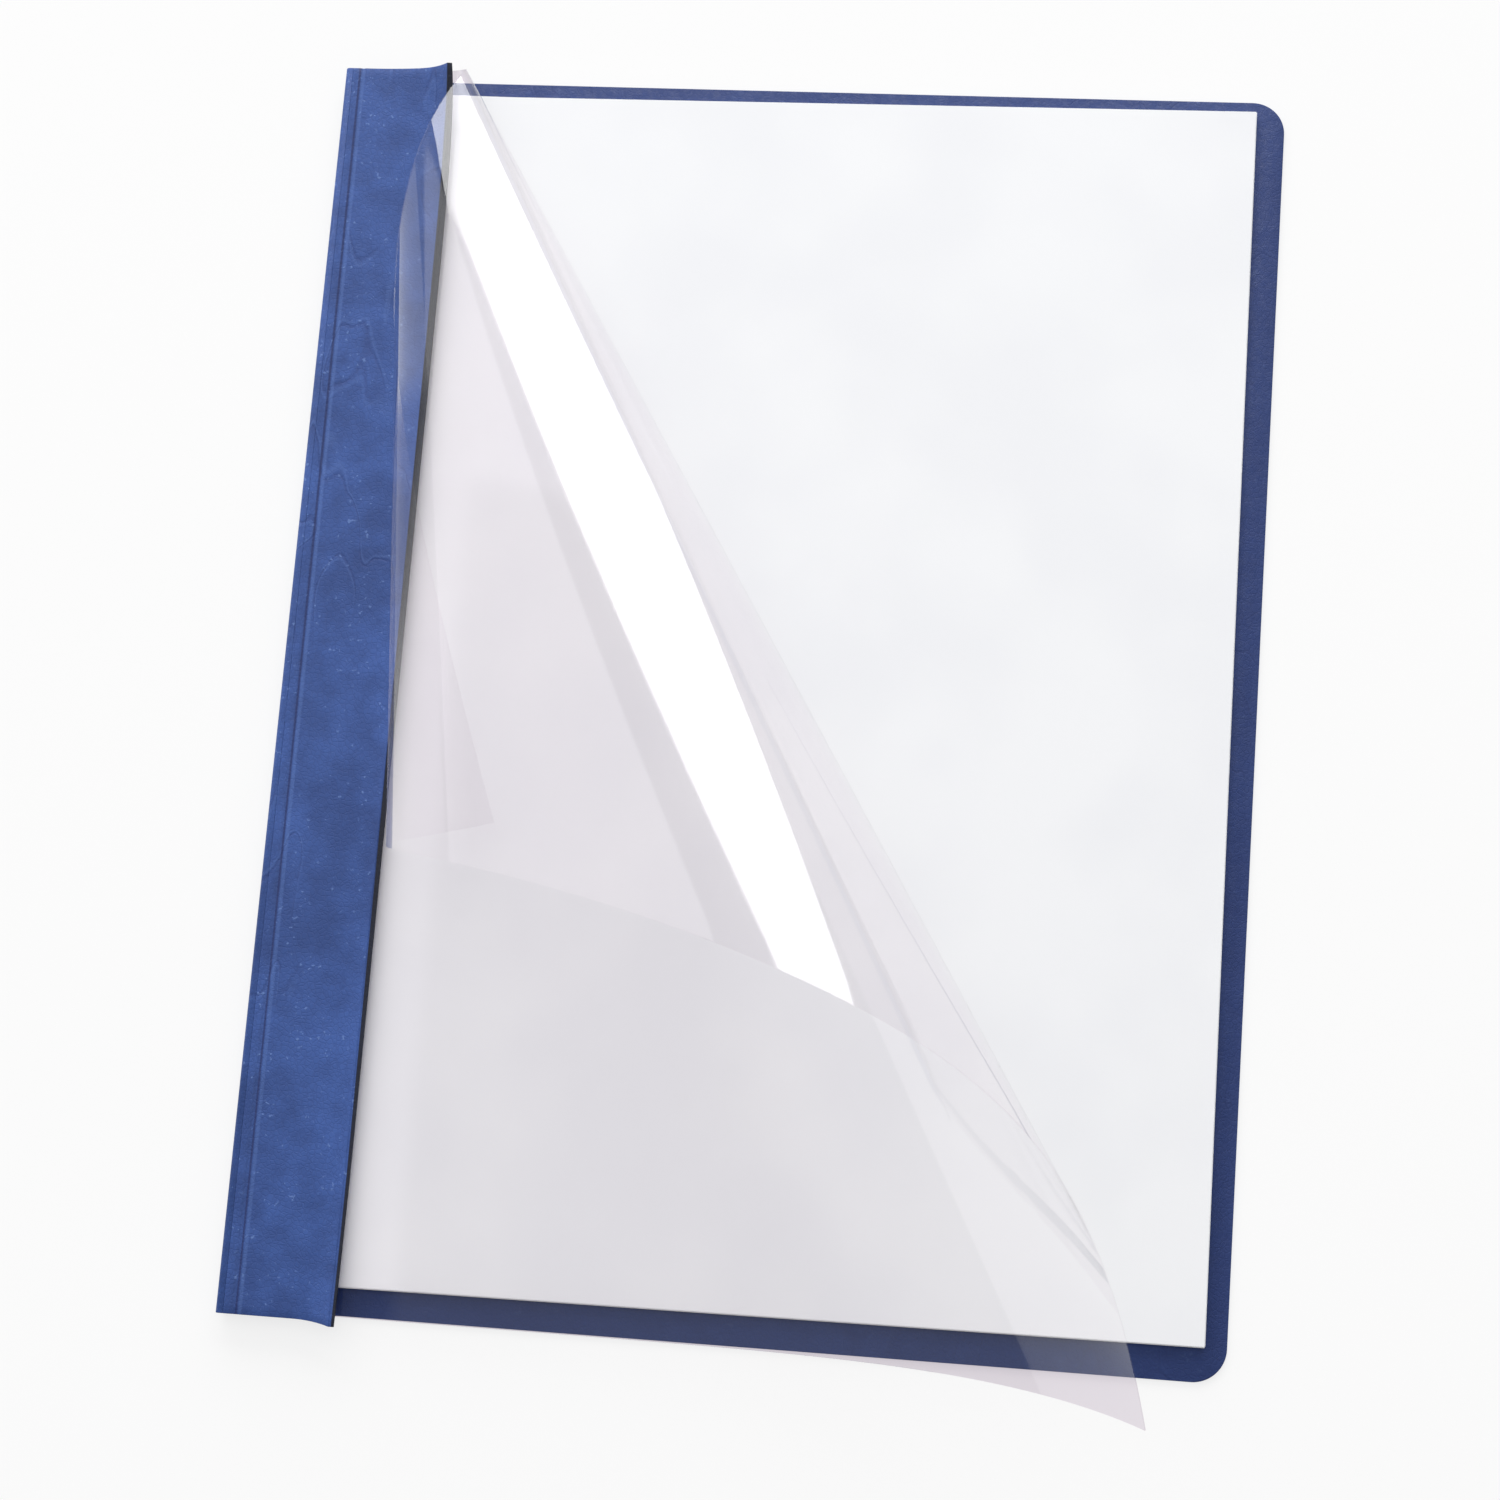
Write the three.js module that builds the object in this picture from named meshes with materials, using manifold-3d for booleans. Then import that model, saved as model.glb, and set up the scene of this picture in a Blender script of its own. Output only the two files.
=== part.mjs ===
// Brief cover: one grained card folded round its spine, with a clear front sheet that is glued under
// a narrow front strip and curls back over it. Millimetres, +Z up, +Y towards the top of the cover.
// The origin is the centre of the back panel's underside, and the spine is on the -X side.
import * as THREE from 'three';
import { mergeVertices } from 'three/addons/utils/BufferGeometryUtils.js';
import Module from 'manifold-3d';

const wasm = await Module();
wasm.setup();

// Cover card
const coverWidth = 223.5;
const coverHeight = 290;
const cardThickness = 0.6;
const panelCornerRadius = 7.5;
const foldRadius = 1.1;
const scoreDistance = 4.3;
const scoreGap = 0.3;
const frontStripWidth = 22.3;
// The spine and the front strip stand this much nearer the top than the panel's own cut edges
const foldShift = 1.1;

// Clear sheet and its curl. Angles are measured round the apex of the curl, from straight down the
// cover towards its right-hand edge. The bend at an angle is the curl's turning per unit of angle.
const filmThickness = 0.25;
const filmGlueInset = 1;
const apexBeyondTop = 33.55;
const apexFromSpine = 10.7;
const curlStart = 0.147;
const curlEase = 0.3;
const curlBase = 3.52;
const rollBend = { peak: 6.7, at: 0.691, spread: 0.08 };
const tipBend = { peak: 4.58, at: 1.443, spread: 0.237 };

// Pages
const pageWidth = 215.9;
const pageHeight = 279.4;
const pageThickness = 1.6;
const pageSpineClearance = 1.2;
const pageTopMargin = 3.6;
const pageSkew = THREE.MathUtils.degToRad(0.35);
const pageDropLength = 26;
const punchRadius = 3.5;
const punchInset = 12.7;
const punchPitch = 108;
const punchCount = 3;

// Fasteners and the card strip that holds them
const tinThickness = 0.25;
const baseWidth = 9;
const baseLength = 17;
const prongWidth = 3;
const prongReach = 21;
const prongGap = 0.4;
const prongBendRadius = 0.3;
const slotClearance = 0.35;
const bindingCardThickness = 0.35;
const bindingCardBaseRoom = 1;
const bindingCardEndInset = 6;
const bindingCardSpineGap = 0.4;
const bindingCardRim = 4;
const bindingCardRamp = 1.5;

// Gap between flat faces that rest on each other
const seatGap = 0.1;

const roundSegments = 12;
const foldSegments = 6;
const curlTurnPerFacet = 0.1;
const widestFacetAngle = 0.06;
const curlStep = 0.002;

// Levels, from the table up
const panelTop = cardThickness;
const baseBottom = panelTop + seatGap;
const bindingCardLift = tinThickness + seatGap;
const bindingCardTop = baseBottom + bindingCardLift + bindingCardThickness;
const pageBottom = bindingCardTop + seatGap;
const pageTop = pageBottom + pageThickness;
const prongBottom = pageTop + seatGap;
const prongTop = prongBottom + tinThickness;
const filmLevel = prongTop + seatGap + filmThickness / 2;
const frontStripLift = filmThickness / 2 + seatGap;
const spineHeight = filmLevel + frontStripLift + cardThickness;

// Places across the cover
const spineX = -coverWidth / 2;
const spineInnerX = spineX + cardThickness;
const scoreX = spineX + scoreDistance;
const frontStripLeft = scoreX + scoreGap;
const frontStripRight = frontStripLeft + frontStripWidth;
const pageLeft = spineInnerX + pageSpineClearance;
const pageCentreX = pageLeft + pageWidth / 2;
const pageCentreY = coverHeight / 2 - pageTopMargin - pageHeight / 2;
const punchX = punchInset - pageWidth / 2;
const fastenerX = pageCentreX + punchX;
const bindingCardLeft = spineInnerX + bindingCardSpineGap;
const bindingCardHump = baseWidth / 2 + bindingCardBaseRoom;
const bindingCardRight = fastenerX + bindingCardHump + bindingCardRamp + bindingCardRim;
const apexX = spineX + apexFromSpine;
const apexY = coverHeight / 2 + apexBeyondTop;

const colours = { card: 0x33487f, film: 0xf4f6f8, paper: 0xf3f4f6, binding: 0x2c3f70, tin: 0xb9bcc0 };

// Every punch position along the spine, from the top of the page down
function punchOffsets() {
  const offsets = [];
  for (let i = 0; i < punchCount; i += 1) {
    offsets.push(((punchCount - 1) / 2 - i) * punchPitch);
  }
  return offsets;
}

// A closed geometry with shared corners and no collapsed triangles
function weld(geometry) {
  const bare = new THREE.BufferGeometry();
  bare.setAttribute('position', geometry.getAttribute('position'));
  if (geometry.index) {
    bare.setIndex(geometry.index);
  }
  const welded = mergeVertices(bare, 1e-5);
  const old = welded.index.array;
  const kept = [];
  for (let i = 0; i < old.length; i += 3) {
    const [a, b, c] = [old[i], old[i + 1], old[i + 2]];
    if (a !== b && b !== c && c !== a) {
      kept.push(a, b, c);
    }
  }
  welded.setIndex(kept);
  return welded;
}

function toSolid(geometry) {
  const welded = weld(geometry);
  const vertProperties = new Float32Array(welded.getAttribute('position').array);
  const triVerts = new Uint32Array(welded.index.array);
  return new wasm.Manifold(new wasm.Mesh({ numProp: 3, vertProperties, triVerts }));
}

function toGeometry(solid) {
  const mesh = solid.getMesh();
  const geometry = new THREE.BufferGeometry();
  geometry.setAttribute('position', new THREE.BufferAttribute(new Float32Array(mesh.vertProperties), 3));
  geometry.setIndex(new THREE.BufferAttribute(new Uint32Array(mesh.triVerts), 1));
  geometry.computeVertexNormals();
  return geometry;
}

// A section drawn in X and Z, drawn out along Y and centred on Y = 0
function drawAlongY(shape, length, curveSegments) {
  const geometry = new THREE.ExtrudeGeometry(shape, { depth: length, bevelEnabled: false, curveSegments });
  const turn = new THREE.Matrix4().makeBasis(
    new THREE.Vector3(1, 0, 0),
    new THREE.Vector3(0, 0, 1),
    new THREE.Vector3(0, -1, 0),
  );
  return geometry.applyMatrix4(turn).translate(0, length / 2, 0);
}

// A section drawn in Y and Z, drawn out along X and centred on X = 0
function drawAlongX(shape, length, curveSegments) {
  const geometry = new THREE.ExtrudeGeometry(shape, { depth: length, bevelEnabled: false, curveSegments });
  const turn = new THREE.Matrix4().makeBasis(
    new THREE.Vector3(0, 1, 0),
    new THREE.Vector3(0, 0, 1),
    new THREE.Vector3(1, 0, 0),
  );
  return geometry.applyMatrix4(turn).translate(-length / 2, 0, 0);
}

// Back panel, spine and front margin, folded from one card
function wrapSection() {
  const inner = foldRadius - cardThickness;
  const shape = new THREE.Shape();
  shape.moveTo(coverWidth / 2, 0);
  shape.lineTo(coverWidth / 2, panelTop);
  shape.lineTo(spineInnerX + inner, panelTop);
  shape.absarc(spineInnerX + inner, panelTop + inner, inner, -Math.PI / 2, Math.PI, true);
  shape.lineTo(spineInnerX, spineHeight - foldRadius);
  shape.absarc(spineInnerX + inner, spineHeight - foldRadius, inner, Math.PI, Math.PI / 2, true);
  shape.lineTo(scoreX, spineHeight - cardThickness);
  shape.lineTo(scoreX, spineHeight);
  shape.lineTo(spineX + foldRadius, spineHeight);
  shape.absarc(spineX + foldRadius, spineHeight - foldRadius, foldRadius, Math.PI / 2, Math.PI, false);
  shape.lineTo(spineX, foldRadius);
  shape.absarc(spineX + foldRadius, foldRadius, foldRadius, Math.PI, Math.PI * 1.5, false);
  shape.closePath();
  return shape;
}

// The cover's outline from above: rounded at the open side, and a little askew under the strip
function coverOutline() {
  const right = coverWidth / 2;
  const top = coverHeight / 2;
  const radius = panelCornerRadius;
  const shape = new THREE.Shape();
  shape.moveTo(spineX - 1, foldShift - top);
  shape.lineTo(frontStripRight, -top);
  shape.lineTo(right - radius, -top);
  shape.absarc(right - radius, radius - top, radius, -Math.PI / 2, 0, false);
  shape.lineTo(right, top - radius);
  shape.absarc(right - radius, top - radius, radius, 0, Math.PI / 2, false);
  shape.lineTo(frontStripRight, top);
  shape.lineTo(spineX - 1, top + foldShift);
  shape.closePath();
  return shape;
}

function backCover() {
  const wrap = toSolid(drawAlongY(wrapSection(), coverHeight + 4 * foldShift, foldSegments));
  const outline = new THREE.ExtrudeGeometry(coverOutline(), {
    depth: spineHeight + 2,
    bevelEnabled: false,
    curveSegments: roundSegments,
  });
  outline.translate(0, 0, -1);
  return toGeometry(wrap.intersect(toSolid(outline)));
}

// The curl's turning at one angle round its apex
function curlBend(angle) {
  const rise = THREE.MathUtils.smoothstep(angle, curlStart, curlStart + curlEase);
  const roll = rollBend.peak * Math.exp(-(((angle - rollBend.at) / rollBend.spread) ** 2));
  const tip = tipBend.peak * Math.exp(-(((angle - tipBend.at) / tipBend.spread) ** 2));
  return angle < curlStart ? 0 : curlBase * rise + roll + tip;
}

// The clear sheet is a cone in the wide sense: it is flat up to the start of the curl, and past it
// each straight line through the apex is turned out of the plane. The frames hold that line's
// direction, the direction across it and the sheet's normal, carried round without stretching.
function curlFrames() {
  const along = new THREE.Vector3(Math.sin(curlStart), -Math.cos(curlStart), 0);
  const across = new THREE.Vector3(Math.cos(curlStart), Math.sin(curlStart), 0);
  const normal = new THREE.Vector3(0, 0, 1);
  const frames = [];
  for (let angle = curlStart; angle < Math.PI; angle += curlStep) {
    frames.push({ along: along.clone(), normal: normal.clone() });
    const bend = curlBend(angle + curlStep / 2);
    const axis = along.clone().multiplyScalar(bend).add(normal).normalize();
    const turn = curlStep * Math.hypot(1, bend);
    along.applyAxisAngle(axis, turn);
    across.applyAxisAngle(axis, turn);
    normal.applyAxisAngle(axis, turn);
  }
  return frames;
}

const frames = curlFrames();

function frameAt(angle) {
  if (angle <= curlStart) {
    return {
      along: new THREE.Vector3(Math.sin(angle), -Math.cos(angle), 0),
      normal: new THREE.Vector3(0, 0, 1),
    };
  }
  const place = (angle - curlStart) / curlStep;
  const index = Math.min(Math.floor(place), frames.length - 2);
  return {
    along: frames[index].along.clone().lerp(frames[index + 1].along, place - index).normalize(),
    normal: frames[index].normal.clone().lerp(frames[index + 1].normal, place - index).normalize(),
  };
}

// Where the line at one angle enters and leaves a flat rectangle
function reach(angle, box) {
  const dx = Math.sin(angle);
  const dy = -Math.cos(angle);
  let near = 0;
  let far = Infinity;
  for (const [start, step, low, high] of [[apexX, dx, box.left, box.right], [apexY, dy, box.bottom, box.top]]) {
    const first = (low - start) / step;
    const second = (high - start) / step;
    near = Math.max(near, Math.min(first, second));
    far = Math.min(far, Math.max(first, second));
  }
  if (far < near) {
    const corner = (near + far) / 2;
    return [corner, corner];
  }
  return [near, far];
}

// The angles of the lines that cut a rectangle of the sheet into flat facets
function facetAngles(box) {
  const corners = [];
  for (const x of [box.left, box.right]) {
    for (const y of [box.bottom, box.top]) {
      corners.push(Math.atan2(x - apexX, apexY - y));
    }
  }
  const first = Math.min(...corners);
  const last = Math.max(...corners);
  corners.push(curlStart);
  corners.sort((a, b) => a - b);
  const angles = [first];
  for (let angle = first; angle < last;) {
    const step = Math.min(widestFacetAngle, curlTurnPerFacet / Math.max(curlBend(angle), 1e-3));
    const corner = corners.find((value) => value > angle + 1e-6 && value <= angle + step * 1.3);
    angle = Math.min(corner ?? angle + step, last);
    angles.push(angle);
  }
  return angles;
}

// A sheet that follows the curl, between two distances from the clear sheet's middle
function curledSheet(box, low, high) {
  const positions = [];
  const indices = [];
  const angles = facetAngles(box);
  for (const angle of angles) {
    const { along, normal } = frameAt(angle);
    for (const distance of reach(angle, box)) {
      for (const offset of [low, high]) {
        const point = new THREE.Vector3(apexX, apexY, filmLevel);
        point.addScaledVector(along, distance).addScaledVector(normal, offset);
        positions.push(point.x, point.y, point.z);
      }
    }
  }
  const quad = (a, b, c, d) => indices.push(a, b, c, a, c, d);
  for (let i = 0; i < angles.length - 1; i += 1) {
    const [nearLow, nearHigh, farLow, farHigh] = [4 * i, 4 * i + 1, 4 * i + 2, 4 * i + 3];
    quad(nearHigh, farHigh, farHigh + 4, nearHigh + 4);
    quad(nearLow, nearLow + 4, farLow + 4, farLow);
    quad(nearLow, nearHigh, nearHigh + 4, nearLow + 4);
    quad(farLow, farLow + 4, farHigh + 4, farHigh);
  }
  const geometry = new THREE.BufferGeometry();
  geometry.setAttribute('position', new THREE.Float32BufferAttribute(positions, 3));
  geometry.setIndex(indices);
  const welded = weld(geometry);
  welded.computeVertexNormals();
  return welded;
}

function clearFront() {
  const box = {
    left: frontStripLeft + filmGlueInset,
    right: coverWidth / 2,
    bottom: -coverHeight / 2,
    top: coverHeight / 2,
  };
  return curledSheet(box, -filmThickness / 2, filmThickness / 2);
}

// The front strip is stiffer, but the curl lifts its top corner with the sheet
function frontStrip() {
  const box = {
    left: frontStripLeft,
    right: frontStripRight,
    bottom: foldShift - coverHeight / 2,
    top: foldShift + coverHeight / 2,
  };
  return curledSheet(box, frontStripLift, frontStripLift + cardThickness);
}

// Pages in their own frame: they ride over the binding card and drop to the panel beyond it
function pageStack() {
  const left = -pageWidth / 2;
  const right = pageWidth / 2;
  const dropStart = fastenerX + bindingCardHump - pageCentreX;
  const dropEnd = dropStart + pageDropLength;
  const third = pageDropLength / 2.5;
  const low = panelTop + seatGap;
  const shape = new THREE.Shape();
  shape.moveTo(left, pageBottom);
  shape.lineTo(dropStart, pageBottom);
  shape.bezierCurveTo(dropStart + third, pageBottom, dropEnd - third, low, dropEnd, low);
  shape.lineTo(right, low);
  shape.lineTo(right, low + pageThickness);
  shape.lineTo(dropEnd, low + pageThickness);
  shape.bezierCurveTo(dropEnd - third, low + pageThickness, dropStart + third, pageTop, dropStart, pageTop);
  shape.lineTo(left, pageTop);
  shape.closePath();
  let stack = toSolid(drawAlongY(shape, pageHeight, roundSegments));
  for (const y of punchOffsets()) {
    const punch = new THREE.CylinderGeometry(punchRadius, punchRadius, 3 * pageThickness, 4 * roundSegments);
    punch.rotateX(Math.PI / 2).translate(punchX, y, (pageBottom + pageTop) / 2);
    stack = stack.subtract(toSolid(punch));
  }
  return toGeometry(stack);
}

// Card strip along the spine: its rims lie on the panel, and its middle clears the fastener bases
function bindingStrip() {
  const low = panelTop + seatGap;
  const steps = [
    [bindingCardLeft, low],
    [fastenerX - bindingCardHump - bindingCardRamp, low],
    [fastenerX - bindingCardHump, low + bindingCardLift],
    [fastenerX + bindingCardHump, low + bindingCardLift],
    [fastenerX + bindingCardHump + bindingCardRamp, low],
    [bindingCardRight, low],
  ];
  const shape = new THREE.Shape();
  shape.moveTo(...steps[0]);
  for (const step of steps.slice(1)) {
    shape.lineTo(...step);
  }
  for (const [x, z] of steps.toReversed()) {
    shape.lineTo(x, z + bindingCardThickness);
  }
  shape.closePath();
  let strip = toSolid(drawAlongY(shape, coverHeight - 2 * bindingCardEndInset, foldSegments));
  const slotWidth = prongWidth + 2 * slotClearance;
  const slotLength = 2 * tinThickness + prongGap + 2 * slotClearance;
  for (const y of punchOffsets()) {
    const slot = new THREE.BoxGeometry(slotWidth, slotLength, 4 * bindingCardThickness);
    slot.translate(fastenerX, pageCentreY + y, bindingCardTop);
    strip = strip.subtract(toSolid(slot));
  }
  return toGeometry(strip);
}

// One prong's side view: up from the base, through the pages and flat along them
function prongSection() {
  const inner = prongBendRadius;
  const outer = inner + tinThickness;
  const nearY = prongGap / 2;
  const foot = baseBottom + tinThickness / 2;
  const shape = new THREE.Shape();
  shape.moveTo(nearY, foot);
  shape.lineTo(nearY + tinThickness, foot);
  shape.lineTo(nearY + tinThickness, prongBottom - inner);
  shape.absarc(nearY + outer, prongBottom - inner, inner, Math.PI, Math.PI / 2, true);
  shape.lineTo(prongReach, prongBottom);
  shape.lineTo(prongReach, prongTop);
  shape.lineTo(nearY + outer, prongTop);
  shape.absarc(nearY + outer, prongTop - outer, outer, Math.PI / 2, Math.PI, false);
  shape.closePath();
  return shape;
}

// Seen from above, the prongs are a long bar with round ends
function prongOutline() {
  const radius = prongWidth / 2;
  const straight = prongReach - radius;
  const shape = new THREE.Shape();
  shape.moveTo(radius, -straight);
  shape.lineTo(radius, straight);
  shape.absarc(0, straight, radius, 0, Math.PI, false);
  shape.lineTo(-radius, -straight);
  shape.absarc(0, -straight, radius, Math.PI, Math.PI * 2, false);
  shape.closePath();
  return shape;
}

// A base with two prongs bent apart, in a frame centred on its punched hole
function tangFastener() {
  const prong = drawAlongX(prongSection(), prongWidth, foldSegments);
  const mirrored = prong.clone().rotateZ(Math.PI);
  const outline = new THREE.ExtrudeGeometry(prongOutline(), {
    depth: spineHeight,
    bevelEnabled: false,
    curveSegments: roundSegments,
  });
  const base = new THREE.BoxGeometry(baseWidth, baseLength, tinThickness);
  base.translate(0, 0, baseBottom + tinThickness / 2);
  const prongs = toSolid(prong).add(toSolid(mirrored)).intersect(toSolid(outline));
  return toGeometry(toSolid(base).add(prongs));
}

function material(color, roughness, metalness) {
  return new THREE.MeshStandardMaterial({ color, roughness, metalness });
}

const card = material(colours.card, 0.55, 0);
const clear = material(colours.film, 0.1, 0);
clear.transparent = true;
clear.opacity = 0.3;
const paper = material(colours.paper, 0.85, 0);
const bindingCard = material(colours.binding, 0.75, 0);
const tin = material(colours.tin, 0.35, 1);

const cover = new THREE.Group();

function place(name, geometry, look) {
  const mesh = new THREE.Mesh(geometry, look);
  mesh.name = name;
  cover.add(mesh);
  return mesh;
}

place('back_cover', backCover(), card);
place('fastener_strip', bindingStrip(), bindingCard);
punchOffsets().forEach((y, index) => {
  place(`tang_fastener_${index + 1}`, tangFastener(), tin).position.set(fastenerX, pageCentreY + y, 0);
});
const pages = place('page_stack', pageStack(), paper);
pages.position.set(pageCentreX, pageCentreY, 0);
pages.rotation.z = pageSkew;
place('clear_front', clearFront(), clear);
place('front_strip', frontStrip(), card);

export default cover;
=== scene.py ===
# Brief cover: grained blue card folded round its spine, a clear front sheet curled back over it,
# and pages held by three tang fasteners. Metres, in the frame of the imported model.
import math
import random

import bmesh
import bpy
from mathutils import Matrix, Vector


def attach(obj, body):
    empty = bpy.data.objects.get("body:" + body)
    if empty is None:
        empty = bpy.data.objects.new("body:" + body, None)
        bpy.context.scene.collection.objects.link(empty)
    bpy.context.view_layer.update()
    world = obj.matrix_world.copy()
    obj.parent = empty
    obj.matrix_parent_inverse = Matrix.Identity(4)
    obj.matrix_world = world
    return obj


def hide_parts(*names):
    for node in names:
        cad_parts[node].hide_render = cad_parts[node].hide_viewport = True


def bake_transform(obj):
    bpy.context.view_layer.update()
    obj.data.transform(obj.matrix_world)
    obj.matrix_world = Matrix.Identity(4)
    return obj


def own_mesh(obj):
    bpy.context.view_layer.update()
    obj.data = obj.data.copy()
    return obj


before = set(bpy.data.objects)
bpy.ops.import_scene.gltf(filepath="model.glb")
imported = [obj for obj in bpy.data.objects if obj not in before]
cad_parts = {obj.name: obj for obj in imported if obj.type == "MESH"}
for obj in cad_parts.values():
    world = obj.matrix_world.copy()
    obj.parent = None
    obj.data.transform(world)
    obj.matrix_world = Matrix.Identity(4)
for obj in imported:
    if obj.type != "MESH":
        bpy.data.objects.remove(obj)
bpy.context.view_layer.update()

mm = 0.001
tiny = 0.001 * mm  # nearer than this, two places are the same
cover = {
    "width": 223.5 * mm,
    "height": 290 * mm,
    "card": 0.6 * mm,
    "cornerRadius": 7.5 * mm,
    "foldRadius": 1.1 * mm,
    "spineHeight": 4.5 * mm,
    "scoreDistance": 4.3 * mm,
    "scoreGap": 0.3 * mm,
    "stripWidth": 22.3 * mm,
    "joinDistance": 1.9 * mm,  # where the back piece and the front piece of the card meet
    "foldShift": 1.1 * mm,  # the spine and the strip stand this much nearer the top
    "foldOver": (0.5 * mm, 2.2 * mm),  # and are this much longer at the top and at the bottom
    "foldTurn": (0.7 * mm, -0.6 * mm),  # and lean right at the top, left at the bottom
    "foldFade": 1.25,  # how fast that fades out on the panel under the strip
    "rimRound": 0.12 * mm,
}
spineX = -cover["width"] / 2
scoreX = spineX + cover["scoreDistance"]
stripRight = scoreX + cover["scoreGap"] + cover["stripWidth"]
joinX = spineX + cover["joinDistance"]


# small helpers
def deselectAll():
    if bpy.context.object and bpy.context.object.mode != "OBJECT":
        bpy.ops.object.mode_set(mode="OBJECT")
    bpy.ops.object.select_all(action="DESELECT")


def nameIt(name):
    piece = bpy.context.active_object
    piece.name = name
    piece.data.name = name
    return piece


def pickVerts(piece, test):
    # in edit mode: selects the vertices that pass the test, and the edges and faces between them
    mesh = bmesh.from_edit_mesh(piece.data)
    mesh.select_mode = {"VERT"}
    for vert in mesh.verts:
        vert.select_set(False)
    for vert in mesh.verts:
        if test(vert.co):
            vert.select_set(True)
    mesh.select_flush_mode()
    bmesh.update_edit_mesh(piece.data)


def pickEdges(piece, test):
    mesh = bmesh.from_edit_mesh(piece.data)
    mesh.select_mode = {"EDGE"}
    for edge in mesh.edges:
        edge.select_set(False)
    for edge in mesh.edges:
        if test(edge):
            edge.select_set(True)
    mesh.select_flush_mode()
    bmesh.update_edit_mesh(piece.data)


def applyModifier(piece, kind, **settings):
    bpy.context.view_layer.objects.active = piece
    modifier = piece.modifiers.new(kind.lower(), kind)
    for key, value in settings.items():
        setattr(modifier, key, value)
    bpy.ops.object.modifier_apply(modifier=modifier.name)


def smooth(piece, degrees=35):
    deselectAll()
    piece.select_set(True)
    bpy.context.view_layer.objects.active = piece
    bpy.ops.object.shade_smooth_by_angle(angle=math.radians(degrees))
    piece.select_set(False)


def addSheet(name, left, right, bottom, top, columns, rows):
    # a flat grid between four edges
    deselectAll()
    bpy.ops.mesh.primitive_grid_add(x_subdivisions=columns, y_subdivisions=rows, size=1)
    piece = nameIt(name)
    piece.scale = (right - left, top - bottom, 1)
    piece.location = ((left + right) / 2, (bottom + top) / 2, 0)
    bpy.ops.object.transform_apply(location=True, rotation=True, scale=True)
    return piece


def finishPiece(piece, body, look):
    piece.data.materials.clear()
    piece.data.materials.append(look)
    if body:
        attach(piece, body)


# shader maths
class Wire:
    def __init__(self, graph, socket):
        self.graph = graph
        self.socket = socket

    def maths(self, operation, *values):
        return self.graph.add("ShaderNodeMath", {"operation": operation}, *values)

    def size(self):
        return self.maths("ABSOLUTE", self)

    def upTo(self, limit):
        return self.maths("MINIMUM", self, limit)

    def __add__(self, other):
        return self.maths("ADD", self, other)

    def __radd__(self, other):
        return self.maths("ADD", other, self)

    def __sub__(self, other):
        return self.maths("SUBTRACT", self, other)

    def __rsub__(self, other):
        return self.maths("SUBTRACT", other, self)

    def __mul__(self, other):
        return self.maths("MULTIPLY", self, other)

    def __rmul__(self, other):
        return self.maths("MULTIPLY", other, self)

    def __pow__(self, other):
        return self.maths("POWER", self, other)


class Graph:
    def __init__(self, name):
        self.look = bpy.data.materials.new(name)
        self.look.use_nodes = True
        self.look.node_tree.nodes.clear()
        self.output = self.look.node_tree.nodes.new("ShaderNodeOutputMaterial")

    def add(self, kind, settings=None, *values, out=0, **named):
        node = self.look.node_tree.nodes.new(kind)
        for key, value in (settings or {}).items():
            if key == "stops":
                ramp = node.color_ramp
                while len(ramp.elements) > len(value):
                    ramp.elements.remove(ramp.elements[-1])
                while len(ramp.elements) < len(value):
                    ramp.elements.new(0.5)
                for element, (place, colour) in zip(ramp.elements, value):
                    element.position = place
                    element.color = colour
            else:
                setattr(node, key, value)
        for key, value in list(enumerate(values)) + list(named.items()):
            if value is None:
                continue
            socket = node.inputs[key if isinstance(key, int) else key.replace("_", " ")]
            if isinstance(value, Wire):
                self.look.node_tree.links.new(value.socket, socket)
            else:
                socket.default_value = value
        return Wire(self, node.outputs[out])

    def place(self):
        # where a point lies on the object, in metres
        return self.add("ShaderNodeTexCoord", out=3)

    def axes(self, place):
        node = self.look.node_tree.nodes.new("ShaderNodeSeparateXYZ")
        self.look.node_tree.links.new(place.socket, node.inputs[0])
        return [Wire(self, node.outputs[axis]) for axis in "XYZ"]

    def mixColours(self, share, first, second):
        node = self.look.node_tree.nodes.new("ShaderNodeMix")
        node.data_type = "RGBA"
        for index, value in ((0, share), (6, first), (7, second)):
            if isinstance(value, Wire):
                self.look.node_tree.links.new(value.socket, node.inputs[index])
            else:
                node.inputs[index].default_value = value
        return Wire(self, node.outputs[2])

    def noise(self, place, scale, detail=2, rough=0.5, warp=0):
        return self.add("ShaderNodeTexNoise", None, Vector=place, Scale=scale, Detail=detail,
                        Roughness=rough, Distortion=warp)

    def ramp(self, value, low, high, fromValue=0, toValue=1):
        # a soft step between two values
        return self.add("ShaderNodeMapRange", {"interpolation_type": "SMOOTHSTEP"}, value, low,
                        high, fromValue, toValue)

    def surface(self, wire):
        self.look.node_tree.links.new(wire.socket, self.output.inputs["Surface"])
        return self.look


def shade(red, green, blue):
    # an sRGB colour as it is seen, as the linear colour that the sockets take
    def linear(value):
        value /= 255
        return value / 12.92 if value <= 0.04045 else ((value + 0.055) / 1.055) ** 2.4

    return (linear(red), linear(green), linear(blue), 1)


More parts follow.
